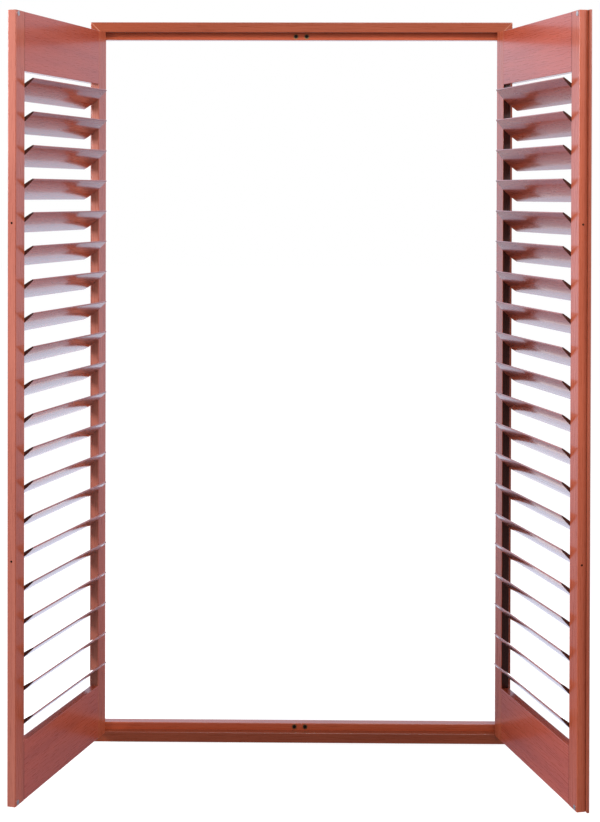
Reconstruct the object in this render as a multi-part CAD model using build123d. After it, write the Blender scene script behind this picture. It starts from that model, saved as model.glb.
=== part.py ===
from build123d import *
import os
from math import acos, cos, pi, radians, sin, tan

# A pair of louvred panels hung in their own four-sided frame. Millimetres, +Z up, +Y towards the window.
# The origin is the middle of the frame's underside. The room, and the viewer, are on the -Y side.

# Frame mouldings, L-shaped in section: a face and a deeper stop, which is narrower and tapered on the jambs
FRAME_WIDTH = 1220.0
FRAME_HEIGHT = 2090.0
FACE_WIDTH = 29.0
STOP_WIDTH = 20.0
JAMB_STOP_WIDTH = 12.5
JAMB_STOP_TAPER = 4.0
RECESS_DEPTH = 25.0
STOP_DEPTH = 29.0
MOULDING_EASE = 2.0

# Panels
PANEL_THICKNESS = 23.0
HINGE_GAP = 2.0
MEETING_GAP = 2.0
EDGE_GAP = 2.0
STILE_WIDTH = 51.0
TOP_RAIL_HEIGHT = 152.5
BOTTOM_RAIL_HEIGHT = 150.5
STILE_EASE = 2.0
RAIL_EASE = 1.2
TENON_LENGTH = 30.0
TENON_THICKNESS = 9.0
TENON_SHOULDER = 20.0
LIP_THICKNESS = 6.5
LIP_OVERHANG = 10.0
LIP_WIDTH = 24.0
LIP_ROUND = 2.5
LIP_CLEARANCE = 0.6

# How far each panel stands open, counted from shut, and how far its louvres are tilted from level
LEFT_OPEN = 106.0
RIGHT_OPEN = 103.7
LEFT_TILT = 37.0
RIGHT_TILT = 42.0

# Louvres, blades on pins, with crowned faces and rounded edges. They fill the space between the rails.
LOUVRE_COUNT = 20
LOUVRE_OVERLAP = 3.0
LOUVRE_THICKNESS = 10.5
LOUVRE_EDGE_RADIUS = 2.0
LOUVRE_LIMIT = 78.0
LOUVRE_END_GAP = 1.0
PIN_RADIUS = 3.0
PIN_CLEARANCE = 0.05
CLOSING_PIN_LENGTH = 15.0
PIN_BORE_SPARE = 0.6

# Hidden rack and pinions in the hinge stile
TOOTH_MODULE = 0.8
PINION_TEETH = 10
PRESSURE_ANGLE = 25.0
TOOTH_ADDENDUM = 0.64
TOOTH_DEDENDUM = 0.85
TOOTH_BACKLASH = 0.2
PINION_LENGTH = 4.0
RACK_DEPTH_IN_STILE = 9.0
RACK_BACK = 2.0
RACK_SIDE_GAP = 0.4
RACK_END = 14.0
TEETH_ABOVE = 5
TEETH_BELOW = 3

# Butt hinges, three to a panel
HINGE_HEIGHT = 76.0
HINGE_END_SPACING = 180.0
PIN_INSET = 4.0
PIN_FORWARD = 0.5
KNUCKLE_RADIUS = 3.5
HINGE_PIN_RADIUS = 1.6
HINGE_PIN_CLEARANCE = 0.06
MIDDLE_KNUCKLE = 25.0
KNUCKLE_GAP = 0.4
NOTCH_CLEARANCE = 0.4
LEAF_THICKNESS = 1.5
LEAF_WIDTH = 20.0
LEAF_TAB = 4.0
WEB_THICKNESS = 1.0
WEB_FORWARD = 0.1

# Magnetic catches at the meeting stiles, and the tension screws in the closing stiles' edges
CATCH_OFFSET = 15.5
MAGNET_RADIUS = 7.0
MAGNET_LENGTH = 10.0
MAGNET_PROUD = 0.8
STRIKE_RADIUS = 6.5
STRIKE_THICKNESS = 1.6
STRIKE_PROUD = 0.8
FITTING_CLEARANCE = 0.05
TENSION_SCREW_RADIUS = 2.9
TENSION_SCREW_BACKSET = 1.2
TENSION_SCREW_GAP = 0.3
SOCKET_RADIUS = 1.4
SOCKET_DEPTH = 2.5
TENSION_LOUVRES = (5, 15)

# Fixing holes through the jamb stops
FIXING_END_DISTANCE = 250.0
FIXING_INSET = 4.5
FIXING_HOLE_RADIUS = 2.5
COUNTERSINK_RADIUS = 4.3

# Worked out from the sizes above
FRAME_DEPTH = RECESS_DEPTH + STOP_DEPTH
FRONT = -FRAME_DEPTH / 2
BACK = FRAME_DEPTH / 2
STOP_FACE = FRONT + RECESS_DEPTH
RECESS_HALF = FRAME_WIDTH / 2 - FACE_WIDTH
PANEL_WIDTH = RECESS_HALF - HINGE_GAP - MEETING_GAP / 2
PANEL_BOTTOM = FACE_WIDTH + EDGE_GAP
PANEL_TOP = FRAME_HEIGHT - FACE_WIDTH - EDGE_GAP
PANEL_HEIGHT = PANEL_TOP - PANEL_BOTTOM
PANEL_BACK = FRONT + PANEL_THICKNESS
PANEL_MIDDLE = FRONT + PANEL_THICKNESS / 2
HINGE_EDGE = -RECESS_HALF + HINGE_GAP
CLOSING_EDGE = HINGE_EDGE + PANEL_WIDTH
STILE_INNER = HINGE_EDGE + STILE_WIDTH
CLOSING_INNER = CLOSING_EDGE - STILE_WIDTH
LOUVRE_SPACE = PANEL_HEIGHT - TOP_RAIL_HEIGHT - BOTTOM_RAIL_HEIGHT
LOUVRE_PITCH = (LOUVRE_SPACE - LOUVRE_OVERLAP) / LOUVRE_COUNT
LOUVRE_CHORD = LOUVRE_PITCH + LOUVRE_OVERLAP
TOP_LOUVRE_AXIS = PANEL_TOP - TOP_RAIL_HEIGHT - LOUVRE_CHORD / 2
BOTTOM_LOUVRE_AXIS = PANEL_BOTTOM + BOTTOM_RAIL_HEIGHT + LOUVRE_CHORD / 2
HINGE_PIN_X = -RECESS_HALF - PIN_INSET
HINGE_PIN_Y = FRONT - PIN_FORWARD
HINGE_HEIGHTS = (
    PANEL_BOTTOM + HINGE_END_SPACING,
    (PANEL_BOTTOM + PANEL_TOP) / 2,
    PANEL_TOP - HINGE_END_SPACING,
)
FIXING_HEIGHTS = (FIXING_END_DISTANCE, FRAME_HEIGHT - FIXING_END_DISTANCE)
CATCH_HEIGHTS = (FACE_WIDTH + STOP_WIDTH / 2, FRAME_HEIGHT - FACE_WIDTH - STOP_WIDTH / 2)
PITCH_RADIUS = TOOTH_MODULE * PINION_TEETH / 2
TOOTH_PITCH = pi * TOOTH_MODULE
TOOTH_WIDTH = TOOTH_PITCH / 2 - TOOTH_BACKLASH
PINION_START = STILE_INNER - RACK_DEPTH_IN_STILE
PINION_END = PINION_START - PINION_LENGTH
PITCH_LINE = PANEL_MIDDLE + PITCH_RADIUS
RACK_REAR = PITCH_LINE + TOOTH_DEDENDUM + RACK_BACK


def block(low_x, high_x, low_y, high_y, low_z, high_z):
    """A rectangular block between two corners."""
    box = Box(high_x - low_x, high_y - low_y, high_z - low_z)
    return Pos((low_x + high_x) / 2, (low_y + high_y) / 2, (low_z + high_z) / 2) * box


def rod_x(radius, start_x, end_x, y, z):
    """A round rod along X."""
    rod = Rot(0, 90, 0) * Cylinder(radius, abs(end_x - start_x))
    return Pos((start_x + end_x) / 2, y, z) * rod


def rod_y(radius, start_y, end_y, x, z):
    """A round rod along Y."""
    rod = Rot(90, 0, 0) * Cylinder(radius, abs(end_y - start_y))
    return Pos(x, (start_y + end_y) / 2, z) * rod


def rod_z(radius, start_z, end_z, x, y):
    """A round rod along Z."""
    return Pos(x, y, (start_z + end_z) / 2) * Cylinder(radius, abs(end_z - start_z))


def louvre_axis(number):
    """Height of a louvre's pivot, counted from 1 at the top."""
    return TOP_LOUVRE_AXIS - (number - 1) * LOUVRE_PITCH


# Frame

def moulding(length, stop_length, stop_width, stop_taper):
    """A moulding along X, its outer face at Z 0: the face mitred at both ends, the stop cut square."""
    face = Polyline((FRONT, 0), (FRONT, FACE_WIDTH), (BACK, FACE_WIDTH), (BACK, 0), close=True)
    profile = make_face(face)
    profile = fillet([v for v in profile.vertices() if v.X == FRONT], MOULDING_EASE)
    bar = extrude(Plane.YZ.offset(-length / 2) * profile, length)
    for side in (-1, 1):
        mitre = Plane(origin=(side * length / 2, 0, 0), x_dir=(0, 1, 0), z_dir=(-side, 0, -1))
        bar = split(bar, bisect_by=mitre, keep=Keep.TOP)
    inner = FACE_WIDTH + stop_width
    stop = Polyline(
        (STOP_FACE, FACE_WIDTH), (STOP_FACE, inner), (BACK, inner - stop_taper), (BACK, FACE_WIDTH),
        close=True,
    )
    profile = make_face(stop)
    profile = fillet([v for v in profile.vertices() if v.X == STOP_FACE and v.Y == inner], MOULDING_EASE)
    return bar + extrude(Plane.YZ.offset(-stop_length / 2) * profile, stop_length)


def magnet_bore(side, height):
    """Room for one magnet in the stop's face."""
    return rod_y(
        MAGNET_RADIUS + FITTING_CLEARANCE, STOP_FACE - 1, STOP_FACE + MAGNET_LENGTH - MAGNET_PROUD,
        side * CATCH_OFFSET, height,
    )


def sill():
    """The frame's bottom moulding, bored for its two magnets."""
    piece = moulding(FRAME_WIDTH, 2 * RECESS_HALF, STOP_WIDTH, 0)
    for side in (-1, 1):
        piece -= magnet_bore(side, CATCH_HEIGHTS[0])
    return piece


def head():
    """The frame's top moulding, bored for its two magnets."""
    bar = moulding(FRAME_WIDTH, 2 * RECESS_HALF, STOP_WIDTH, 0)
    piece = Pos(0, 0, FRAME_HEIGHT) * Rot(0, 180, 0) * bar
    for side in (-1, 1):
        piece -= magnet_bore(side, CATCH_HEIGHTS[1])
    return piece


def left_jamb():
    """The frame's left moulding, let in for three hinges and drilled for two fixing screws."""
    stop_length = FRAME_HEIGHT - 2 * (FACE_WIDTH + STOP_WIDTH)
    bar = moulding(FRAME_HEIGHT, stop_length, JAMB_STOP_WIDTH, JAMB_STOP_TAPER)
    piece = Pos(-FRAME_WIDTH / 2, 0, FRAME_HEIGHT / 2) * Rot(0, 90, 0) * bar
    for height in HINGE_HEIGHTS:
        low, high = height - HINGE_HEIGHT / 2, height + HINGE_HEIGHT / 2
        piece -= rod_z(
            KNUCKLE_RADIUS + NOTCH_CLEARANCE, low - NOTCH_CLEARANCE, high + NOTCH_CLEARANCE,
            HINGE_PIN_X, HINGE_PIN_Y,
        )
        leaf_bed = -RECESS_HALF - LEAF_THICKNESS
        piece -= block(leaf_bed, -RECESS_HALF + 1, FRONT - 1, FRONT + LEAF_WIDTH, low, high)
    hole_x = -RECESS_HALF + FIXING_INSET
    for height in FIXING_HEIGHTS:
        piece -= rod_y(FIXING_HOLE_RADIUS, STOP_FACE - 1, BACK + 1, hole_x, height)
        sink_depth = COUNTERSINK_RADIUS - FIXING_HOLE_RADIUS
        sink = Cone(COUNTERSINK_RADIUS, FIXING_HOLE_RADIUS, sink_depth)
        piece -= Pos(hole_x, STOP_FACE + sink_depth / 2, height) * Rot(-90, 0, 0) * sink
    return piece


def magnets():
    """The four magnets of the catches, two in the head and two in the sill."""
    return [
        rod_y(
            MAGNET_RADIUS, STOP_FACE - MAGNET_PROUD, STOP_FACE + MAGNET_LENGTH - MAGNET_PROUD,
            side * CATCH_OFFSET, height,
        )
        for height in CATCH_HEIGHTS
        for side in (-1, 1)
    ]


def frame_leaf(height):
    """A left hinge's fixed half: leaf, two knuckles and the pin."""
    low, high = height - HINGE_HEIGHT / 2, height + HINGE_HEIGHT / 2
    knuckle_low = height - MIDDLE_KNUCKLE / 2 - KNUCKLE_GAP
    knuckle_high = height + MIDDLE_KNUCKLE / 2 + KNUCKLE_GAP
    plate_front = FRONT + LEAF_TAB
    leaf = block(-RECESS_HALF - LEAF_THICKNESS, -RECESS_HALF, plate_front, FRONT + LEAF_WIDTH, low, high)
    for start, end in ((low, knuckle_low), (knuckle_high, high)):
        leaf += block(-RECESS_HALF - LEAF_THICKNESS, -RECESS_HALF, HINGE_PIN_Y, plate_front, start, end)
        leaf += rod_z(KNUCKLE_RADIUS, start, end, HINGE_PIN_X, HINGE_PIN_Y)
    return leaf + rod_z(HINGE_PIN_RADIUS, low, high, HINGE_PIN_X, HINGE_PIN_Y)


# Panels, drawn shut on the left-hand side of the frame

def upright(low_x, high_x, with_lip):
    """A stile's bar with eased edges, and the overlapping lip of the right-hand closing stile."""
    outline = Pos((low_x + high_x) / 2, PANEL_MIDDLE) * Rectangle(high_x - low_x, PANEL_THICKNESS)
    outline = fillet(outline.vertices(), STILE_EASE)
    bar = extrude(outline, PANEL_HEIGHT)
    if with_lip:
        lip_start = high_x - LIP_WIDTH + LIP_OVERHANG
        lip_end = high_x + LIP_OVERHANG
        lip_back = FRONT - LIP_CLEARANCE
        lip_front = lip_back - LIP_THICKNESS
        lip = Polyline(
            (lip_start, lip_front), (lip_end, lip_front), (lip_end, lip_back),
            (high_x - STILE_EASE, lip_back), (high_x - STILE_EASE, FRONT + STILE_EASE),
            (lip_start, FRONT + STILE_EASE), close=True,
        )
        lip_face = make_face(lip)
        rounded = [v for v in lip_face.vertices() if v.Y < lip_back - 1]
        bar += extrude(fillet(rounded, LIP_ROUND), PANEL_HEIGHT)
    return Pos(0, 0, PANEL_BOTTOM) * bar


def rail(low_z, high_z):
    """A rail between the stiles, with eased edges and a tenon at each end."""
    length = CLOSING_INNER - STILE_INNER
    outline = Pos(PANEL_MIDDLE, (low_z + high_z) / 2) * Rectangle(PANEL_THICKNESS, high_z - low_z)
    outline = fillet(outline.vertices(), RAIL_EASE)
    bar = extrude(Plane.YZ.offset(STILE_INNER) * outline, length)
    return bar + tenon_block(STILE_INNER - TENON_LENGTH, CLOSING_INNER + TENON_LENGTH, low_z, high_z)


def tenon_block(low_x, high_x, low_z, high_z):
    """The space that a rail's tenons take up."""
    return block(
        low_x, high_x, PANEL_MIDDLE - TENON_THICKNESS / 2, PANEL_MIDDLE + TENON_THICKNESS / 2,
        low_z + TENON_SHOULDER, high_z - TENON_SHOULDER,
    )


def rail_spans():
    """Lowest and highest Z of the bottom rail and of the top rail."""
    return (
        (PANEL_BOTTOM, PANEL_BOTTOM + BOTTOM_RAIL_HEIGHT),
        (PANEL_TOP - TOP_RAIL_HEIGHT, PANEL_TOP),
    )


def rack_travel(tilt):
    """How far the rack slides up and down from rest, for louvres that rest at this tilt."""
    return PITCH_RADIUS * radians(LOUVRE_LIMIT - tilt), PITCH_RADIUS * radians(LOUVRE_LIMIT + tilt)


def hinge_stile(tilt):
    """The stile on the hinge side, glued up round the closed channel of the tilt rack."""
    piece = upright(HINGE_EDGE, STILE_INNER, False)
    for low, high in rail_spans():
        piece -= tenon_block(STILE_INNER - TENON_LENGTH, STILE_INNER + 1, low, high)
    for height in HINGE_HEIGHTS:
        piece -= block(
            HINGE_EDGE - 1, HINGE_EDGE + LEAF_THICKNESS, FRONT - 1, FRONT + LEAF_WIDTH,
            height - HINGE_HEIGHT / 2, height + HINGE_HEIGHT / 2,
        )
    tip_radius = PITCH_RADIUS + TOOTH_ADDENDUM
    travel_up, travel_down = rack_travel(tilt)
    piece -= block(
        PINION_END - RACK_SIDE_GAP, PINION_START + RACK_SIDE_GAP,
        PANEL_MIDDLE - tip_radius - RACK_SIDE_GAP, RACK_REAR + RACK_SIDE_GAP,
        BOTTOM_LOUVRE_AXIS - RACK_END - travel_down - RACK_SIDE_GAP,
        TOP_LOUVRE_AXIS + RACK_END + travel_up + RACK_SIDE_GAP,
    )
    bore_radius = PIN_RADIUS + PIN_CLEARANCE
    for number in range(1, LOUVRE_COUNT + 1):
        piece -= rod_x(bore_radius, PINION_START, STILE_INNER + 1, PANEL_MIDDLE, louvre_axis(number))
    return piece


def closing_stile(with_lip):
    """The stile at the meeting edge, bored for the louvre pins, strikes and tension screws."""
    piece = upright(CLOSING_INNER, CLOSING_EDGE, with_lip)
    for low, high in rail_spans():
        piece -= tenon_block(CLOSING_INNER - 1, CLOSING_INNER + TENON_LENGTH, low, high)
    bore_end = CLOSING_INNER + LOUVRE_END_GAP + CLOSING_PIN_LENGTH + PIN_BORE_SPARE
    for number in range(1, LOUVRE_COUNT + 1):
        height = louvre_axis(number)
        piece -= rod_x(PIN_RADIUS + PIN_CLEARANCE, CLOSING_INNER - 1, bore_end, PANEL_MIDDLE, height)
        if number in TENSION_LOUVRES:
            bore_radius = TENSION_SCREW_RADIUS + FITTING_CLEARANCE
            piece -= rod_x(bore_radius, bore_end, CLOSING_EDGE + 1, PANEL_MIDDLE, height)
    for height in CATCH_HEIGHTS:
        bore_radius = STRIKE_RADIUS + FITTING_CLEARANCE
        bore_floor = PANEL_BACK - STRIKE_THICKNESS + STRIKE_PROUD
        piece -= rod_y(bore_radius, bore_floor, PANEL_BACK + 1, -CATCH_OFFSET, height)
    return piece


def panel_leaf(height):
    """A left hinge's moving half: leaf, middle knuckle and the web between them."""
    low, high = height - HINGE_HEIGHT / 2, height + HINGE_HEIGHT / 2
    knuckle_low, knuckle_high = height - MIDDLE_KNUCKLE / 2, height + MIDDLE_KNUCKLE / 2
    leaf_end = HINGE_EDGE + LEAF_THICKNESS
    web_back = FRONT - WEB_FORWARD
    web_front = web_back - WEB_THICKNESS
    leaf = block(HINGE_EDGE, leaf_end, FRONT, FRONT + LEAF_WIDTH, low, high)
    leaf += block(HINGE_EDGE, leaf_end, web_front, FRONT, knuckle_low, knuckle_high)
    leaf += block(HINGE_PIN_X, HINGE_EDGE, web_front, web_back, knuckle_low, knuckle_high)
    leaf += rod_z(KNUCKLE_RADIUS, knuckle_low, knuckle_high, HINGE_PIN_X, HINGE_PIN_Y)
    bore = rod_z(HINGE_PIN_RADIUS + HINGE_PIN_CLEARANCE, low, high, HINGE_PIN_X, HINGE_PIN_Y)
    return leaf - bore


def strike(height):
    """A steel strike disc in the closing stile's back face."""
    return rod_y(
        STRIKE_RADIUS, PANEL_BACK - STRIKE_THICKNESS + STRIKE_PROUD, PANEL_BACK + STRIKE_PROUD,
        -CATCH_OFFSET, height,
    )


def tension_screw(height):
    """A set screw in the closing stile's edge, which bears on a louvre's pin."""
    pin_end = CLOSING_INNER + LOUVRE_END_GAP + CLOSING_PIN_LENGTH
    outer_end = CLOSING_EDGE - TENSION_SCREW_BACKSET
    screw = rod_x(TENSION_SCREW_RADIUS, pin_end + TENSION_SCREW_GAP, outer_end, PANEL_MIDDLE, height)
    return screw - rod_x(SOCKET_RADIUS, outer_end - SOCKET_DEPTH, outer_end + 1, PANEL_MIDDLE, height)


# Louvres and the rack that turns them together

def involute(angle):
    """The involute function of a pressure angle in radians."""
    return tan(angle) - angle


def pinion_outline():
    """The pinion's toothed outline, with a gap between two teeth facing +X of the sketch."""
    base_radius = PITCH_RADIUS * cos(radians(PRESSURE_ANGLE))
    tip_radius = PITCH_RADIUS + TOOTH_ADDENDUM
    root_radius = PITCH_RADIUS - TOOTH_DEDENDUM
    pitch_half_angle = TOOTH_WIDTH / 2 / PITCH_RADIUS + involute(radians(PRESSURE_ANGLE))
    flank = [(root_radius, pitch_half_angle)]
    for radius in (base_radius, PITCH_RADIUS, (PITCH_RADIUS + tip_radius) / 2, tip_radius):
        flank.append((radius, pitch_half_angle - involute(acos(base_radius / radius))))
    points = []
    for tooth in range(PINION_TEETH):
        middle = 2 * pi * (tooth + 0.5) / PINION_TEETH
        tooth_points = [(radius, middle - half) for radius, half in flank]
        tooth_points += [(radius, middle + half) for radius, half in reversed(flank)]
        points += [(radius * cos(angle), radius * sin(angle)) for radius, angle in tooth_points]
    return make_face(Polyline(*points, close=True))


def blade_section():
    """A blade's outline, lying flat: two crowned faces and two round edges, all tangent."""
    half_thickness = LOUVRE_THICKNESS / 2
    edge_centre = LOUVRE_CHORD / 2 - LOUVRE_EDGE_RADIUS
    crown = (edge_centre ** 2 + half_thickness ** 2 - LOUVRE_EDGE_RADIUS ** 2) / (
        2 * (half_thickness - LOUVRE_EDGE_RADIUS)
    )
    reach = crown / (crown - LOUVRE_EDGE_RADIUS)
    x = edge_centre * reach
    y = (crown - half_thickness) * (reach - 1)
    outline = [
        ThreePointArc((-x, y), (0, half_thickness), (x, y)),
        ThreePointArc((x, y), (LOUVRE_CHORD / 2, 0), (x, -y)),
        ThreePointArc((x, -y), (0, -half_thickness), (-x, -y)),
        ThreePointArc((-x, -y), (-LOUVRE_CHORD / 2, 0), (-x, y)),
    ]
    return make_face(Wire(outline))


def louvre(number, tilt):
    """One blade at its resting tilt, with its two pins and its pinion."""
    height = louvre_axis(number)
    blade_start = STILE_INNER + LOUVRE_END_GAP
    blade_end = CLOSING_INNER - LOUVRE_END_GAP
    section = Rot(0, 0, tilt) * blade_section()
    blade = extrude(Plane.YZ.offset(blade_start) * section, blade_end - blade_start)
    blade = Pos(0, PANEL_MIDDLE, height) * blade
    blade += rod_x(PIN_RADIUS, PINION_START, blade_start + 1, PANEL_MIDDLE, height)
    pin_end = CLOSING_INNER + LOUVRE_END_GAP + CLOSING_PIN_LENGTH
    blade += rod_x(PIN_RADIUS, blade_end - 1, pin_end, PANEL_MIDDLE, height)
    pinion = extrude(Plane.YZ.offset(PINION_END) * pinion_outline(), PINION_LENGTH)
    return blade + Pos(0, PANEL_MIDDLE, height) * pinion


def tilt_rack():
    """The toothed bar in the hinge stile, with a short row of teeth at every pinion."""
    half_tip = TOOTH_WIDTH / 2 - TOOTH_ADDENDUM * tan(radians(PRESSURE_ANGLE))
    half_root = TOOTH_WIDTH / 2 + TOOTH_DEDENDUM * tan(radians(PRESSURE_ANGLE))
    root_line = PITCH_LINE + TOOTH_DEDENDUM
    tip_line = PITCH_LINE - TOOTH_ADDENDUM
    outline = [(RACK_REAR, TOP_LOUVRE_AXIS + RACK_END), (RACK_REAR, BOTTOM_LOUVRE_AXIS - RACK_END)]
    outline.append((root_line, BOTTOM_LOUVRE_AXIS - RACK_END))
    for number in range(LOUVRE_COUNT, 0, -1):
        for tooth in range(-TEETH_BELOW, TEETH_ABOVE + 1):
            middle = louvre_axis(number) + tooth * TOOTH_PITCH
            outline += [
                (root_line, middle - half_root), (tip_line, middle - half_tip),
                (tip_line, middle + half_tip), (root_line, middle + half_root),
            ]
    outline.append((root_line, TOP_LOUVRE_AXIS + RACK_END))
    face = make_face(Polyline(*outline, close=True))
    return extrude(Plane.YZ.offset(PINION_END) * face, PINION_LENGTH)


# Setting each panel open on its hinge pins

def hang_left(solid):
    """Swings a closed left-hand piece to where the left panel stands."""
    return solid.rotate(Axis((HINGE_PIN_X, HINGE_PIN_Y, 0), (0, 0, 1)), -LEFT_OPEN)


def hang_right(solid):
    """Mirrors a closed left-hand piece and swings it to where the right panel stands."""
    mirrored = mirror(solid, about=Plane.YZ)
    return mirrored.rotate(Axis((-HINGE_PIN_X, HINGE_PIN_Y, 0), (0, 0, 1)), RIGHT_OPEN)


def panel_nodes(side, hang, tilt, with_lip):
    """Every node of one panel, by name, as lists of solids."""
    bottom_span, top_span = rail_spans()
    nodes = {
        f"{side}_hinge_stile": [hinge_stile(tilt)],
        f"{side}_closing_stile": [closing_stile(with_lip)],
        f"{side}_bottom_rail": [rail(*bottom_span)],
        f"{side}_top_rail": [rail(*top_span)],
        f"{side}_hinge_leaves": [panel_leaf(height) for height in HINGE_HEIGHTS],
        f"{side}_strikes_and_tension_screws": [strike(height) for height in CATCH_HEIGHTS]
        + [tension_screw(louvre_axis(number)) for number in TENSION_LOUVRES],
        f"{side}_tilt_rack": [tilt_rack()],
    }
    for number in range(1, LOUVRE_COUNT + 1):
        nodes[f"{side}_louvre_{number:02d}"] = [louvre(number, tilt)]
    return {name: [hang(solid) for solid in solids] for name, solids in nodes.items()}


def frame_nodes():
    """Every node of the frame, by name, as lists of solids."""
    jamb = left_jamb()
    leaves = [frame_leaf(height) for height in HINGE_HEIGHTS]
    return {
        "frame_sill": [sill()],
        "frame_head": [head()],
        "frame_left_jamb": [jamb],
        "frame_right_jamb": [mirror(jamb, about=Plane.YZ)],
        "frame_hinge_leaves": leaves + [mirror(leaf, about=Plane.YZ) for leaf in leaves],
        "catch_magnets": magnets(),
    }


os.makedirs("parts", exist_ok=True)
all_nodes = frame_nodes()
all_nodes |= panel_nodes("left", hang_left, LEFT_TILT, False)
all_nodes |= panel_nodes("right", hang_right, RIGHT_TILT, True)
for node_name, node_solids in all_nodes.items():
    bodies = [solid for shape in node_solids for solid in shape.solids()]
    export_step(bodies[0] if len(bodies) == 1 else Compound(bodies), f"parts/{node_name}.step")
print(len(all_nodes), "nodes; panels", round(PANEL_WIDTH, 1), "mm wide")
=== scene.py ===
import math

import bmesh
import bpy
from mathutils import Matrix, Vector


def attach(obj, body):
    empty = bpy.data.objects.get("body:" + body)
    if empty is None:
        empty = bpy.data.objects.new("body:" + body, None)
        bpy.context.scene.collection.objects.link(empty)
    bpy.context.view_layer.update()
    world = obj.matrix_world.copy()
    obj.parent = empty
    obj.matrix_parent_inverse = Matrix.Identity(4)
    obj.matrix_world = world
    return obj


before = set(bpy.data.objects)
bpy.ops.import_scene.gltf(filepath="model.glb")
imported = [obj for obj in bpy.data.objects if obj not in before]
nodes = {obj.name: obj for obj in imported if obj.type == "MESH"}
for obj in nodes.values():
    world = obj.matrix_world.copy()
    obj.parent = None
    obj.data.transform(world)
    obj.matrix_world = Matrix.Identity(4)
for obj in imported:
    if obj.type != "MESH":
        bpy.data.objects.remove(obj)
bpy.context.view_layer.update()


# Camera
# It stands in the room at eye height, four and a half metres in front of the frame, and looks almost level.
# The lens is shifted down, so that the panels' upright edges stay upright in the picture.
PICTURE_HEIGHT = 822
SENSOR_SIZE = 36
FOCAL_PIXELS = 1555.0
CENTRE_RIGHT_PIXELS = 21.06
CENTRE_DOWN_PIXELS = 411 - 207.2
CAMERA_PLACE = (-0.0037, -4.5288, 1.5896)
LOOK_DOWN, ROLL, LOOK_LEFT = 0.438, -0.130, 0.763

camera_data = bpy.data.cameras.new("camera")
camera_data.lens = FOCAL_PIXELS / PICTURE_HEIGHT * SENSOR_SIZE
camera_data.shift_x = CENTRE_RIGHT_PIXELS / PICTURE_HEIGHT
camera_data.shift_y = -CENTRE_DOWN_PIXELS / PICTURE_HEIGHT
camera = bpy.data.objects.new("camera", camera_data)
camera.location = CAMERA_PLACE
camera.rotation_euler = (math.radians(90 - LOOK_DOWN), math.radians(ROLL), math.radians(LOOK_LEFT))
bpy.context.scene.collection.objects.link(camera)
bpy.context.scene.camera = camera


# Frame mouldings
# Four L-shaped lengths of cherry-stained hardwood, mitred and glued at the corners. Their grain follows
# their length, and satin lacquer covers all of it. Along each mitre the sanded edges show a pale line.
FRAME_DARK = (0.20, 0.036, 0.014)
FRAME_PALE = (0.33, 0.072, 0.027)
FRAME_ENDS = (0.10, 0.018, 0.010)
# The stop's paler tint is painted light: it brightens the recessed stop, which the face shades.
STOP_PAINTED_LIGHT = (1.75, 1.6, 1.45)
MITRE_COLOUR = (0.62, 0.30, 0.20)
MITRE_STRENGTH = 0.75
MITRE_HALF_WIDTH = 0.0009
FRAME_HALF = 0.610
FRAME_MIDDLE = 1.045
FACE_WIDTH = 0.029
STOP_FACE = -0.002
DEPTH_SLACK = 0.0005

# The wood's patterns. A pair of scales counts repeats in a metre along the grain and across it.
FIGURE_SCALES = (1.1, 26)
FIGURE_CONTRAST = 1.5
FIGURE_START = -0.35
CLOUD_SCALE = 3.1
CLOUD_CONTRAST = 0.5
PORE_SCALES = (16, 640)
PORE_RANGE = (0.30, 0.46)
PORE_SHADE = 0.82
PORE_DEPTH = 0.0003
PORE_RELIEF = 0.12
PORE_ROUGHNESS = 0.08
WOOD_ROUGHNESS = 0.24
CUT_ROUGHNESS = 0.2
COAT_ROUGHNESS = 0.1
SATIN_COAT = 0.4
SAME_SIDE = 0.9


def add_node(tree, kind, inputs=None, **settings):
    """Adds a shader node. An input is given as a value or as the socket that feeds it."""
    new = tree.nodes.new(kind)
    for name, value in settings.items():
        setattr(new, name, value)
    for name, value in (inputs or {}).items():
        if isinstance(value, bpy.types.NodeSocket):
            tree.links.new(value, new.inputs[name])
        else:
            new.inputs[name].default_value = value
    return new


def reckon(tree, operation, first, second=0.0, third=0.0):
    return add_node(tree, "ShaderNodeMath", {0: first, 1: second, 2: third}, operation=operation).outputs[0]


def ramp(tree, value, start, end, low=0.0, high=1.0, interpolation="LINEAR"):
    """Goes from low to high while value goes from start to end."""
    limits = {"Value": value, "From Min": start, "From Max": end, "To Min": low, "To Max": high}
    return add_node(tree, "ShaderNodeMapRange", limits, interpolation_type=interpolation).outputs[0]


def noise(tree, place, scale, detail, roughness=0.5, distortion=0.0):
    inputs = {"Vector": place, "Scale": scale, "Detail": detail, "Roughness": roughness}
    return add_node(tree, "ShaderNodeTexNoise", {**inputs, "Distortion": distortion}).outputs[0]


def grey(tree, shade):
    return add_node(tree, "ShaderNodeCombineColor", {0: shade, 1: shade, 2: shade}).outputs[0]


def blend_colours(tree, amount, first, second, blend_type="MIX"):
    mix = add_node(tree, "ShaderNodeMix", data_type="RGBA", blend_type=blend_type)
    for index, value in ((0, amount), (6, first), (7, second)):
        if isinstance(value, bpy.types.NodeSocket):
            tree.links.new(value, mix.inputs[index])
        else:
            mix.inputs[index].default_value = (*value, 1) if isinstance(value, tuple) else value
    return mix.outputs[2]


def facing(tree, heading):
    """How far a side faces the heading: 1 straight at it, 0 at right angles to it."""
    sides = {0: add_node(tree, "ShaderNodeTexCoord").outputs["Normal"], 1: heading}
    return add_node(tree, "ShaderNodeVectorMath", sides, operation="DOT_PRODUCT").outputs["Value"]


def level_heading(turn):
    """The level direction at turn degrees from the X axis."""
    return (math.cos(math.radians(turn)), math.sin(math.radians(turn)), 0)


def position(tree):
    """The X, Y and Z of a point of the piece."""
    place = add_node(tree, "ShaderNodeTexCoord").outputs["Object"]
    return add_node(tree, "ShaderNodeSeparateXYZ", {0: place}).outputs


def new_material(name):
    material = bpy.data.materials.new(name)
    material.use_nodes = True
    return material, material.node_tree, material.node_tree.nodes["Principled BSDF"]


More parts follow.
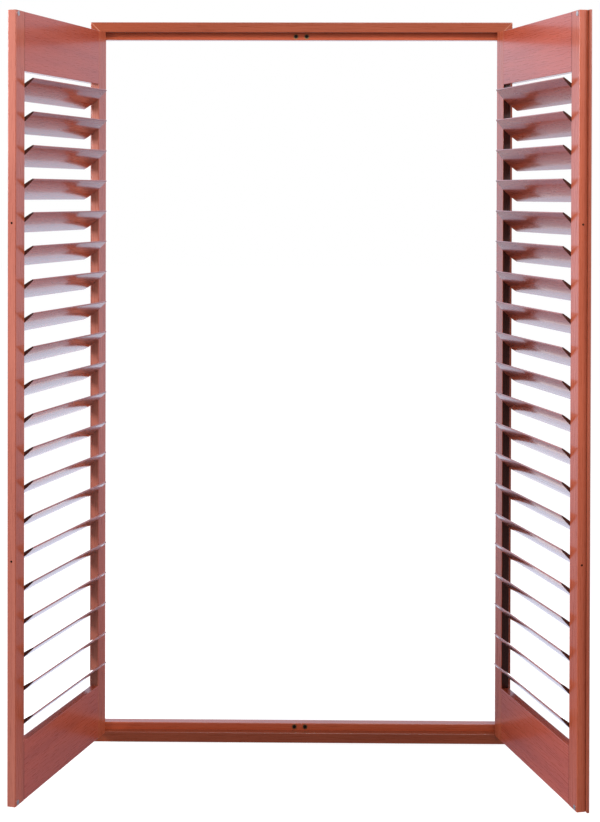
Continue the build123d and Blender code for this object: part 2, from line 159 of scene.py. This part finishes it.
def recolour(material, amount, colour, blend_type="MIX"):
    """Blends a colour over the one that the material has so far."""
    tree = material.node_tree
    socket = tree.nodes["Principled BSDF"].inputs["Base Color"]
    blended = blend_colours(tree, amount, socket.links[0].from_socket, colour, blend_type)
    tree.links.new(blended, socket)


def stained_wood(name, upright, turn, dark, pale, end_grain_and_shade, coat=SATIN_COAT):
    """Lacquered wood. Its grain runs upright, or level at an angle of turn degrees from the X axis."""
    material, tree, surface = new_material(name)
    place = add_node(tree, "ShaderNodeTexCoord").outputs["Object"]
    turned = {"Vector": place, "Rotation": (0, 0, math.radians(-turn))}
    level = add_node(tree, "ShaderNodeMapping", turned).outputs[0]

    def stretched(along, across):
        scale = (across, across, along) if upright else (along, across, across)
        return add_node(tree, "ShaderNodeMapping", {"Vector": level, "Scale": scale}).outputs[0]

    figure = noise(tree, stretched(*FIGURE_SCALES), scale=1.0, detail=5.0, roughness=0.55, distortion=0.5)
    pores = noise(tree, stretched(*PORE_SCALES), scale=1.0, detail=3.0, roughness=0.6)
    clouds = noise(tree, place, CLOUD_SCALE, detail=2.0)
    amount = reckon(tree, "MULTIPLY_ADD", figure, FIGURE_CONTRAST, FIGURE_START)
    amount = reckon(tree, "MULTIPLY_ADD", clouds, CLOUD_CONTRAST, amount)
    amount = add_node(tree, "ShaderNodeClamp", {"Value": amount}).outputs[0]
    colour = blend_colours(tree, amount, dark, pale)
    pore_marks = ramp(tree, pores, *PORE_RANGE, low=PORE_SHADE)
    colour = blend_colours(tree, 1.0, colour, grey(tree, pore_marks), "MULTIPLY")
    along_grain = facing(tree, (0, 0, 1) if upright else level_heading(turn))
    at_end = reckon(tree, "GREATER_THAN", reckon(tree, "ABSOLUTE", along_grain), SAME_SIDE)
    # The ends take their own colour: end grain, which for the louvres also holds painted shade.
    colour = blend_colours(tree, at_end, colour, end_grain_and_shade)
    roughness = reckon(tree, "MULTIPLY_ADD", pores, PORE_ROUGHNESS, WOOD_ROUGHNESS)
    roughness = reckon(tree, "MULTIPLY_ADD", at_end, CUT_ROUGHNESS, roughness)
    relief = {"Strength": PORE_RELIEF, "Distance": PORE_DEPTH, "Height": pores}
    tree.links.new(colour, surface.inputs["Base Color"])
    tree.links.new(roughness, surface.inputs["Roughness"])
    tree.links.new(add_node(tree, "ShaderNodeBump", relief).outputs[0], surface.inputs["Normal"])
    surface.inputs["Coat Weight"].default_value = coat
    surface.inputs["Coat Roughness"].default_value = COAT_ROUGHNESS
    return material


def finish_with(name, material):
    """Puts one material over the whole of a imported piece."""
    mesh = nodes[name].data
    mesh.materials.clear()
    mesh.materials.append(material)


def mark_mitres(material):
    """Draws the pale line along the four mitres, on the face only."""
    tree = material.node_tree
    across, _, height = position(tree)
    from_side = reckon(tree, "SUBTRACT", FRAME_HALF, reckon(tree, "ABSOLUTE", across))
    from_middle = reckon(tree, "ABSOLUTE", reckon(tree, "SUBTRACT", height, FRAME_MIDDLE))
    from_end = reckon(tree, "SUBTRACT", FRAME_MIDDLE, from_middle)
    off_line = reckon(tree, "ABSOLUTE", reckon(tree, "SUBTRACT", from_side, from_end))
    on_line = reckon(tree, "LESS_THAN", off_line, MITRE_HALF_WIDTH)
    on_face = reckon(tree, "LESS_THAN", from_side, FACE_WIDTH)
    line = reckon(tree, "MULTIPLY", reckon(tree, "MULTIPLY", on_line, on_face), MITRE_STRENGTH)
    recolour(material, line, MITRE_COLOUR)


def paint_light_on_stop(material):
    """Paints light onto the stop, which lies behind the face in its shade, so that it shows paler than the
    face.
    """
    tree = material.node_tree
    behind = reckon(tree, "GREATER_THAN", position(tree)[1], STOP_FACE - DEPTH_SLACK)
    recolour(material, behind, STOP_PAINTED_LIGHT, "MULTIPLY")


level_frame_wood = stained_wood("level_frame_wood", False, 0, FRAME_DARK, FRAME_PALE, FRAME_ENDS)
upright_frame_wood = stained_wood("upright_frame_wood", True, 0, FRAME_DARK, FRAME_PALE, FRAME_ENDS)
for material in (level_frame_wood, upright_frame_wood):
    mark_mitres(material)
    paint_light_on_stop(material)
for name in ("frame_head", "frame_sill"):
    finish_with(name, level_frame_wood)
for name in ("frame_left_jamb", "frame_right_jamb"):
    finish_with(name, upright_frame_wood)


# Stiles
# The two uprights of each panel, solid hardwood with eased corners. The hinge stile hides the tilt rack,
# and the right-hand closing stile carries a rounded lip that laps over the other panel.
PANEL_TURN = {"left": -106.0, "right": 103.7}
EDGE_TURN = {"left": PANEL_TURN["left"], "right": PANEL_TURN["right"] + 180}
PIN_X = 0.585
PIN_Y = -0.0275
LIP_BACK = -0.0273

# The inner sides, the closing edges and the lip carry painted light over their stain: painted shade on the
# right inner side, a paler, bluer painted sheen on the left inner side and the left closing edge, and
# painted shade with a bluish painted sheen on the lip. The right closing edge is left almost unchanged.
STILE_DARK = (0.31, 0.056, 0.024)
STILE_PALE = (0.47, 0.106, 0.048)
STILE_ENDS = (0.16, 0.034, 0.018)
INNER_SHADE_AND_SHEEN = {"left": (0.85, 1.35, 2.0), "right": (0.12, 0.10, 0.08)}
EDGE_PAINTED_SHEEN = {"left": (0.98, 1.45, 2.2), "right": (0.98, 1.0, 1.0)}
LIP_SHADE_AND_SHEEN = (0.80, 0.95, 1.14)


def paint_side_light(material, turn, painted_tint):
    """Tints the side facing turn degrees from the X axis: a dark tint paints shade, a pale blue one paints
    sheen.
    """
    tree = material.node_tree
    on_side = reckon(tree, "GREATER_THAN", facing(tree, level_heading(turn)), SAME_SIDE)
    recolour(material, on_side, painted_tint, "MULTIPLY")


def paint_lip_light(material):
    """Paints shade with a bluish sheen onto the lip of the right-hand panel, darker and bluer than its
    stile.
    """
    tree = material.node_tree
    across, depth, _ = position(tree)
    angle = math.radians(PANEL_TURN["right"])
    sideways = reckon(tree, "MULTIPLY", reckon(tree, "SUBTRACT", across, PIN_X), -math.sin(angle))
    forward = reckon(tree, "MULTIPLY_ADD", reckon(tree, "SUBTRACT", depth, PIN_Y), math.cos(angle), sideways)
    on_lip = reckon(tree, "LESS_THAN", forward, LIP_BACK - PIN_Y)
    recolour(material, on_lip, LIP_SHADE_AND_SHEEN, "MULTIPLY")


for side, turn in PANEL_TURN.items():
    for stile, side_painted_tint in (("hinge_stile", INNER_SHADE_AND_SHEEN), ("closing_stile", EDGE_PAINTED_SHEEN)):
        stile_wood = stained_wood(f"{side}_{stile}_wood", True, turn, STILE_DARK, STILE_PALE, STILE_ENDS)
        paint_side_light(stile_wood, EDGE_TURN[side], side_painted_tint[side])
        if (side, stile) == ("right", "closing_stile"):
            paint_lip_light(stile_wood)
        finish_with(f"{side}_{stile}", stile_wood)


# Rails
# Broad boards across the top and the bottom of each panel, tenoned into the stiles, with their grain
# running level.
RAIL_DARK = (0.31, 0.048, 0.024)
RAIL_PALE = (0.46, 0.088, 0.044)

for side, turn in PANEL_TURN.items():
    rail_wood = stained_wood(f"{side}_rail_wood", False, turn, RAIL_DARK, RAIL_PALE, STILE_ENDS)
    finish_with(f"{side}_top_rail", rail_wood)
    finish_with(f"{side}_bottom_rail", rail_wood)


# Louvres
# Twenty thin blades a side, crowned on both faces and rounded along their edges, each on a pin at either
# end. Their cut ends are nearly black: darker end grain, with painted shade for the gap against the stiles.
# Thicker lacquer makes them glossier.
LOUVRE_DARK = (0.23, 0.038, 0.020)
LOUVRE_PALE = (0.37, 0.072, 0.036)
LOUVRE_ENDS_AND_SHADE = (0.045, 0.010, 0.005)
LOUVRE_COAT = 1.0
LOUVRE_SEED = {"left": 3.0, "right": 47.0}
DARKEST_SHADE = 0.86
SHADE_SPREAD = 0.22
LOUVRES = 20
TOP_AXIS = 1.86195
LOUVRE_PITCH = 0.0861


def vary_by_louvre(material, seed):
    """Makes each louvre a little darker or paler than its neighbours, which are cut from other boards."""
    tree = material.node_tree
    height = position(tree)[2]
    below_top = reckon(tree, "DIVIDE", reckon(tree, "SUBTRACT", TOP_AXIS, height), LOUVRE_PITCH)
    number = reckon(tree, "ADD", reckon(tree, "ROUND", below_top), seed)
    chance = add_node(tree, "ShaderNodeTexWhiteNoise", {"W": number}, noise_dimensions="1D").outputs["Value"]
    shade = reckon(tree, "MULTIPLY_ADD", chance, SHADE_SPREAD, DARKEST_SHADE)
    recolour(material, 1.0, grey(tree, shade), "MULTIPLY")


for side, turn in PANEL_TURN.items():
    louvre_wood = stained_wood(
        f"{side}_louvre_wood", False, turn, LOUVRE_DARK, LOUVRE_PALE, LOUVRE_ENDS_AND_SHADE, LOUVRE_COAT,
    )
    vary_by_louvre(louvre_wood, LOUVRE_SEED[side])
    for number in range(1, LOUVRES + 1):
        finish_with(f"{side}_louvre_{number:02d}", louvre_wood)


# Hinges
# Three butt hinges a side in dark bronzed steel, their leaves let in flush with the wood, with small
# countersunk cross-headed screws. No two of their crosses stand at quite the same angle.
HINGE_HEIGHTS = (0.211, 1.045, 1.879)
FRAME_LEAF_X = 0.581
PANEL_LEAF_X = 0.579
SCREW_SPACING = 0.026
SCREW_Y = -0.015
HEAD_RADIUS = 0.003
HEAD_PROUD = 0.0003
HEAD_FLARE = 1.08
HEAD_SEGMENTS = 28
ARM_LENGTH = 0.0016
ARM_HALF_WIDTH = 0.00035
RECESS_SLOPE = 0.00008
RECESS_DEPTH = HEAD_PROUD * 0.9
SEAT_TURN, HINGE_TURN, PLACE_TURN = 1.1, 2.3, 0.9
BRONZE = (0.20, 0.13, 0.085)
SPECK_SCALE = 900.0
SPECK_RANGE = (0.3, 0.7)
SPECK_SHADE = 0.82
SPECK_ROUGHNESS = 0.2


def dull_metal(name, colour, roughness):
    """Plated metal with a faint unevenness in its sheen."""
    material, tree, surface = new_material(name)
    surface.inputs["Metallic"].default_value = 1.0
    place = add_node(tree, "ShaderNodeTexCoord").outputs["Object"]
    specks = noise(tree, place, SPECK_SCALE, detail=4.0)
    shade = grey(tree, ramp(tree, specks, *SPECK_RANGE, low=SPECK_SHADE))
    roughness = reckon(tree, "MULTIPLY_ADD", specks, SPECK_ROUGHNESS, roughness)
    tree.links.new(blend_colours(tree, 1.0, colour, shade, "MULTIPLY"), surface.inputs["Base Color"])
    tree.links.new(roughness, surface.inputs["Roughness"])
    return material


def screw_head():
    """One low screw head that faces +Z, with a cross recess."""
    arm = ((ARM_LENGTH, -ARM_HALF_WIDTH), (ARM_LENGTH, ARM_HALF_WIDTH), (ARM_HALF_WIDTH, ARM_HALF_WIDTH))
    shape = bmesh.new()
    ring = bmesh.ops.create_circle(shape, segments=HEAD_SEGMENTS, radius=HEAD_RADIUS)["verts"]
    ring_edges = list(shape.edges)
    corners = []
    for quarter in range(4):
        turned = Matrix.Rotation(math.radians(90 * quarter), 3, "Z")
        corners += [shape.verts.new(turned @ Vector((x, y, 0))) for x, y in arm]
    recess = shape.faces.new(corners)
    rims = ring_edges + list(recess.edges)
    bmesh.ops.triangle_fill(shape, use_beauty=True, edges=rims, normal=(0, 0, 1))
    bmesh.ops.inset_region(shape, faces=[recess], thickness=RECESS_SLOPE, depth=-RECESS_DEPTH)
    skirt = bmesh.ops.extrude_edge_only(shape, edges=ring_edges)["geom"]
    skirt = [part for part in skirt if isinstance(part, bmesh.types.BMVert)]
    bmesh.ops.translate(shape, verts=skirt, vec=(0, 0, -HEAD_PROUD))
    bmesh.ops.scale(shape, verts=skirt, vec=(HEAD_FLARE, HEAD_FLARE, 1))
    bmesh.ops.recalc_face_normals(shape, faces=shape.faces)
    bmesh.ops.translate(shape, verts=shape.verts, vec=(0, 0, HEAD_PROUD))
    mesh = bpy.data.meshes.new("screw_head")
    shape.to_mesh(mesh)
    shape.free()
    return mesh


def hinge_screws(name, body, seats):
    """Three screws in each leaf of one body. A seat is an X, a Y and the heading that its leaf faces."""
    head = screw_head()
    sideways = Matrix.Rotation(math.radians(90), 4, "Y")
    shape = bmesh.new()
    for seat, (x, y, heading) in enumerate(seats):
        for hinge, height in enumerate(HINGE_HEIGHTS):
            for place in (-1, 0, 1):
                before = len(shape.verts)
                shape.from_mesh(head)
                shape.verts.ensure_lookup_table()
                driven = Matrix.Rotation(SEAT_TURN * seat + HINGE_TURN * hinge + PLACE_TURN * place, 4, "Z")
                faced = Matrix.Rotation(math.radians(heading), 4, "Z") @ sideways
                stand = Matrix.Translation((x, y, height + place * SCREW_SPACING))
                bmesh.ops.transform(shape, matrix=stand @ (faced @ driven), verts=shape.verts[before:])
    mesh = bpy.data.meshes.new(name)
    shape.to_mesh(mesh)
    shape.free()
    bpy.data.meshes.remove(head)
    mesh.materials.append(bronzed_steel)
    screws = bpy.data.objects.new(name, mesh)
    bpy.context.scene.collection.objects.link(screws)
    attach(screws, body)


def swung(sign, turn):
    """Where a panel's leaf stands once its panel has turned on its pin."""
    angle = math.radians(turn)
    across, forward = sign * (PANEL_LEAF_X - PIN_X), SCREW_Y - PIN_Y
    return (
        sign * PIN_X + across * math.cos(angle) - forward * math.sin(angle),
        PIN_Y + across * math.sin(angle) + forward * math.cos(angle),
    )


bronzed_steel = dull_metal("bronzed_steel", BRONZE, roughness=0.3)
for name in ("frame_hinge_leaves", "left_hinge_leaves", "right_hinge_leaves"):
    finish_with(name, bronzed_steel)

frame_seats = ((-FRAME_LEAF_X, SCREW_Y, 0), (FRAME_LEAF_X, SCREW_Y, 180))
left_seat = (*swung(-1, PANEL_TURN["left"]), 180 + PANEL_TURN["left"])
right_seat = (*swung(1, PANEL_TURN["right"]), PANEL_TURN["right"])
hinge_screws("frame_hinge_screws", "window_frame", frame_seats)
hinge_screws("left_hinge_screws", "left_panel", (left_seat,))
hinge_screws("right_hinge_screws", "right_panel", (right_seat,))


# Tilt racks
# A toothed nylon bar in each hinge stile. The blades' pinions mesh with it, and it turns all of them
# together. Its natural nylon is slightly cloudy.
NYLON_DARK = (0.66, 0.63, 0.55)
NYLON_PALE = (0.78, 0.76, 0.70)
NYLON_CLOUD_SCALE = 60.0
NYLON_ROUGHNESS = 0.45

natural_nylon, nylon_tree, nylon_surface = new_material("natural_nylon")
nylon_place = add_node(nylon_tree, "ShaderNodeTexCoord").outputs["Object"]
nylon_clouds = noise(nylon_tree, nylon_place, NYLON_CLOUD_SCALE, detail=3.0)
nylon_colour = blend_colours(nylon_tree, nylon_clouds, NYLON_DARK, NYLON_PALE)
nylon_tree.links.new(nylon_colour, nylon_surface.inputs["Base Color"])
nylon_surface.inputs["Roughness"].default_value = NYLON_ROUGHNESS
for side in PANEL_TURN:
    finish_with(f"{side}_tilt_rack", natural_nylon)


# Catches and tension screws
# Round magnets let into the head and the sill, zinc-plated strike discs in the panels' back faces, and a
# socket-headed set screw in each closing stile's edge at the fifth and the fifteenth louvre.
MAGNET_X = 0.0155
MAGNET_FROM_MIDDLE = 1.006
CORE_RADIUS = 0.0045
STRIKES_FROM_MIDDLE = 0.9
NICKEL = (0.045, 0.040, 0.040)
BRASS = (0.30, 0.20, 0.09)
ZINC = (0.62, 0.61, 0.58)
BLACK_OIL = (0.012, 0.008, 0.006)


def brass_rim(material):
    """Shows each magnet's thin brass cup as a ring round its dark core."""
    tree = material.node_tree
    across, _, height = position(tree)
    across = reckon(tree, "SUBTRACT", reckon(tree, "ABSOLUTE", across), MAGNET_X)
    up = reckon(tree, "ABSOLUTE", reckon(tree, "SUBTRACT", height, FRAME_MIDDLE))
    up = reckon(tree, "SUBTRACT", up, MAGNET_FROM_MIDDLE)
    squares = reckon(tree, "ADD", reckon(tree, "MULTIPLY", across, across), reckon(tree, "MULTIPLY", up, up))
    on_rim = reckon(tree, "GREATER_THAN", reckon(tree, "SQRT", squares), CORE_RADIUS)
    recolour(material, on_rim, BRASS)


def blacken_screws(material):
    """Gives the set screws, which sit between the strikes in height, their black oil finish."""
    tree = material.node_tree
    from_middle = reckon(tree, "ABSOLUTE", reckon(tree, "SUBTRACT", position(tree)[2], FRAME_MIDDLE))
    on_screw = reckon(tree, "LESS_THAN", from_middle, STRIKES_FROM_MIDDLE)
    recolour(material, on_screw, BLACK_OIL)


dark_nickel = dull_metal("dark_nickel", NICKEL, roughness=0.35)
brass_rim(dark_nickel)
finish_with("catch_magnets", dark_nickel)

zinc_plate = dull_metal("zinc_plate", ZINC, roughness=0.3)
blacken_screws(zinc_plate)
for side in PANEL_TURN:
    finish_with(f"{side}_strikes_and_tension_screws", zinc_plate)


# Floor
# A plain white floor, level with the frame's underside. The camera sees its glow, but the glow lights
# nothing, so the object's shadow stays on the floor.
FLOOR_HALF = 30
FLOOR_DROP = 0.0003
FLOOR_PAINT = (0.50, 0.50, 0.50, 1)
FLOOR_GLOW = 0.75

floor_mesh = bpy.data.meshes.new("floor")
floor_shape = bmesh.new()
bmesh.ops.create_grid(floor_shape, x_segments=1, y_segments=1, size=FLOOR_HALF)
bmesh.ops.translate(floor_shape, verts=floor_shape.verts, vec=(0, 0, -FLOOR_DROP))
floor_shape.to_mesh(floor_mesh)
floor_shape.free()
floor = bpy.data.objects.new("floor", floor_mesh)
bpy.context.scene.collection.objects.link(floor)
floor.visible_glossy = False

white_floor = bpy.data.materials.new("white_floor")
white_floor.use_nodes = True
floor_tree = white_floor.node_tree
floor_tree.nodes.clear()
floor_ray = add_node(floor_tree, "ShaderNodeLightPath").outputs
floor_seen = reckon(floor_tree, "MAXIMUM", floor_ray["Is Camera Ray"], floor_ray["Is Glossy Ray"])
paint = add_node(floor_tree, "ShaderNodeBsdfDiffuse", {"Color": FLOOR_PAINT})
glow_strength = reckon(floor_tree, "MULTIPLY", floor_seen, FLOOR_GLOW)
glow = add_node(floor_tree, "ShaderNodeEmission", {"Strength": glow_strength})
both = add_node(floor_tree, "ShaderNodeAddShader", {0: paint.outputs[0], 1: glow.outputs[0]})
add_node(floor_tree, "ShaderNodeOutputMaterial", {"Surface": both.outputs[0]})
floor_mesh.materials.append(white_floor)


# Studio
# White where the camera sees it, and an even grey where it lights the object. The lacquer mirrors a room:
# a pale wall ahead, bluer on the left, a dim floor, and low down the daylit opening with its glare.
STUDIO_LIGHT = (0.52, 0.50, 0.53)
STUDIO_WHITE = (1.0, 1.0, 1.0)
WALL_LEFT = (0.93, 1.03, 1.28)
WALL_RIGHT = (0.66, 0.71, 0.90)
WALL_FOOT = (0.12, 0.11, 0.16)
FLOOR_MIRRORED = (0.34, 0.33, 0.46)
ROOM_BEHIND = (0.12, 0.11, 0.12)
CEILING = (0.70, 0.74, 0.86)
OPENING_LOW = (0.84, 0.89, 1.08)
OPENING_HIGH = (0.92, 0.87, 0.97)
GLARE = (2.1, 2.05, 2.05)

# Where the parts of that room fade in, as parts of a mirrored ray's unit length
AHEAD = (-0.3, 0.4)
WALL_SIDES = (-0.4, 0.4)
WALL_RISE = (-0.37, -0.02)
FLOOR_RISE = (-0.31, -0.41)
CEILING_RISE = (0.25, 0.75)
OPENING_MIDDLE = 0.03
OPENING_SIDES = (0.30, 0.14)
OPENING_TOP = (-0.06, -0.16)
OPENING_SHADES = (-0.36, -0.27)
GLARE_SIDES = (0.36, 0.26)
GLARE_TOP = (-0.12, -0.16)
GLARE_FOOT = (-0.36, -0.29)
GLARE_SLANT = (-0.25, -0.15)

world = bpy.data.worlds.new("studio")
world.use_nodes = True
sky = world.node_tree
sky.nodes.clear()
ray = add_node(sky, "ShaderNodeLightPath").outputs
direction = add_node(sky, "ShaderNodeTexCoord").outputs["Generated"]
rightwards, forwards, rise = add_node(sky, "ShaderNodeSeparateXYZ", {0: direction}).outputs


def smooth(value, limits):
    return ramp(sky, value, *limits, interpolation="SMOOTHSTEP")


def all_of(*amounts):
    """The product of several amounts."""
    product = amounts[0]
    for amount in amounts[1:]:
        product = reckon(sky, "MULTIPLY", product, amount)
    return product


ahead = smooth(forwards, AHEAD)
off_middle = reckon(sky, "ABSOLUTE", reckon(sky, "SUBTRACT", rightwards, OPENING_MIDDLE))
in_opening = all_of(smooth(rise, OPENING_TOP), smooth(off_middle, OPENING_SIDES), ahead)
opening_colour = blend_colours(sky, smooth(rise, OPENING_SHADES), OPENING_LOW, OPENING_HIGH)
sideways = reckon(sky, "ABSOLUTE", rightwards)
above_slant = smooth(reckon(sky, "ADD", rise, sideways), GLARE_SLANT)
above_foot, below_top = smooth(rise, GLARE_FOOT), smooth(rise, GLARE_TOP)
in_glare = all_of(above_slant, above_foot, below_top, smooth(sideways, GLARE_SIDES), ahead)
wall_colour = blend_colours(sky, ramp(sky, rightwards, *WALL_SIDES), WALL_LEFT, WALL_RIGHT)
mirrored = blend_colours(sky, smooth(rise, WALL_RISE), WALL_FOOT, wall_colour)
mirrored = blend_colours(sky, smooth(rise, FLOOR_RISE), mirrored, FLOOR_MIRRORED)
mirrored = blend_colours(sky, ahead, ROOM_BEHIND, mirrored)
mirrored = blend_colours(sky, smooth(rise, CEILING_RISE), mirrored, CEILING)
mirrored = blend_colours(sky, in_opening, mirrored, opening_colour)
mirrored = blend_colours(sky, in_glare, mirrored, GLARE)
lit = blend_colours(sky, ray["Is Glossy Ray"], STUDIO_LIGHT, mirrored)
seen = reckon(sky, "MAXIMUM", ray["Is Camera Ray"], ray["Is Transmission Ray"])
lit = blend_colours(sky, seen, lit, STUDIO_WHITE)
studio = add_node(sky, "ShaderNodeBackground", {"Color": lit, "Strength": 1.0})
add_node(sky, "ShaderNodeOutputWorld", {"Surface": studio.outputs[0]})
bpy.context.scene.world = world


# Lamps
# A broad lamp above and in front of the frame lights the edges that face the room, and one from each side
# lights the panels' faces. The left one is the strongest.
def soft_lamp(name, place, aim, size, energy, colour):
    """A rectangular lamp at place that shines towards aim."""
    data = bpy.data.lights.new(name, "AREA")
    data.shape = "RECTANGLE"
    data.size, data.size_y = size
    data.energy = energy
    data.color = colour
    lamp = bpy.data.objects.new(name, data)
    turn = (Vector(aim) - Vector(place)).to_track_quat("-Z", "Y").to_matrix().to_4x4()
    lamp.matrix_world = Matrix.Translation(place) @ turn
    bpy.context.scene.collection.objects.link(lamp)


soft_lamp(
    "front_lamp", place=(0.4, -3.2, 3.8), aim=(0, 0, 1.6),
    size=(2.0, 0.8), energy=66, colour=(1.0, 0.97, 0.96),
)
soft_lamp(
    "left_lamp", place=(-3.2, -1.4, 2.3), aim=(0.7, -0.3, 1.5),
    size=(1.0, 1.4), energy=128, colour=(1.0, 0.94, 0.98),
)
soft_lamp(
    "right_lamp", place=(2.6, -1.9, 2.8), aim=(-0.5, -0.3, 1.6),
    size=(1.0, 1.4), energy=50, colour=(1.0, 0.95, 0.98),
)

bpy.context.scene.view_settings.view_transform = "Standard"
